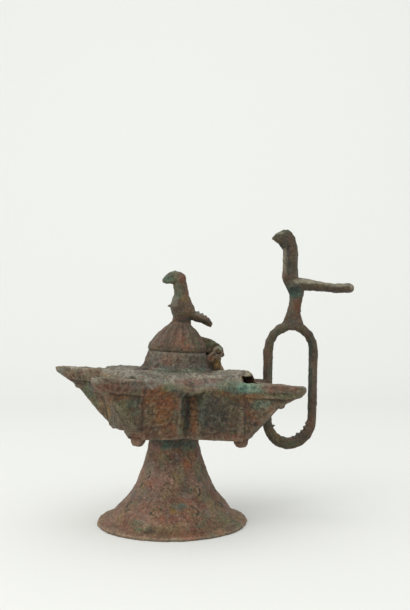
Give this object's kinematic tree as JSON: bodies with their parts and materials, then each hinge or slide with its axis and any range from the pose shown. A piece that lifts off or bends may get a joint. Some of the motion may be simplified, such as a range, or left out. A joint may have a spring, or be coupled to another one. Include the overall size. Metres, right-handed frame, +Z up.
{
  "type": "oil lamp",
  "caption": "Cast bronze oil lamp on a hollow trumpet foot: open spouts round a lidded reservoir, hinged fluted lid with a bird finial, and a tall ring handle with a bird thumb-piece.",
  "frame": {"origin": "centre of the bounding box's underside, on the surface the lamp stands on", "axes": "+Z up; +X from the foot towards the ring handle; +Y to the left of the handle, completing a right-handed frame"},
  "size_m": [0.1816, 0.1218, 0.1771],
  "materials": {
    "foot_bronze": "cast bronze, matt reddish-brown and green patina",
    "body_bronze": "cast bronze, matt brown, orange and green patina, grey dust on top",
    "lid_bronze": "cast bronze, matt grey-brown patina",
    "pin_bronze": "dark corroded bronze",
    "handle_bronze": "cast bronze, brown patina with dark green inner faces"
  },
  "bodies": {
    "lamp": {"foot": "foot_bronze", "reservoir": "body_bronze", "handle": "handle_bronze", "hinge_pin": "pin_bronze"},
    "lid": {"lid": "lid_bronze"}
  },
  "joints": [
    {"name": "lid_hinge", "type": "hinge", "parent": "lamp", "child": "lid", "pos_m": [-0.00264, -0.00105, 0.10176], "axis": [0, 1, 0], "range_deg": [0, 88]}
  ]
}
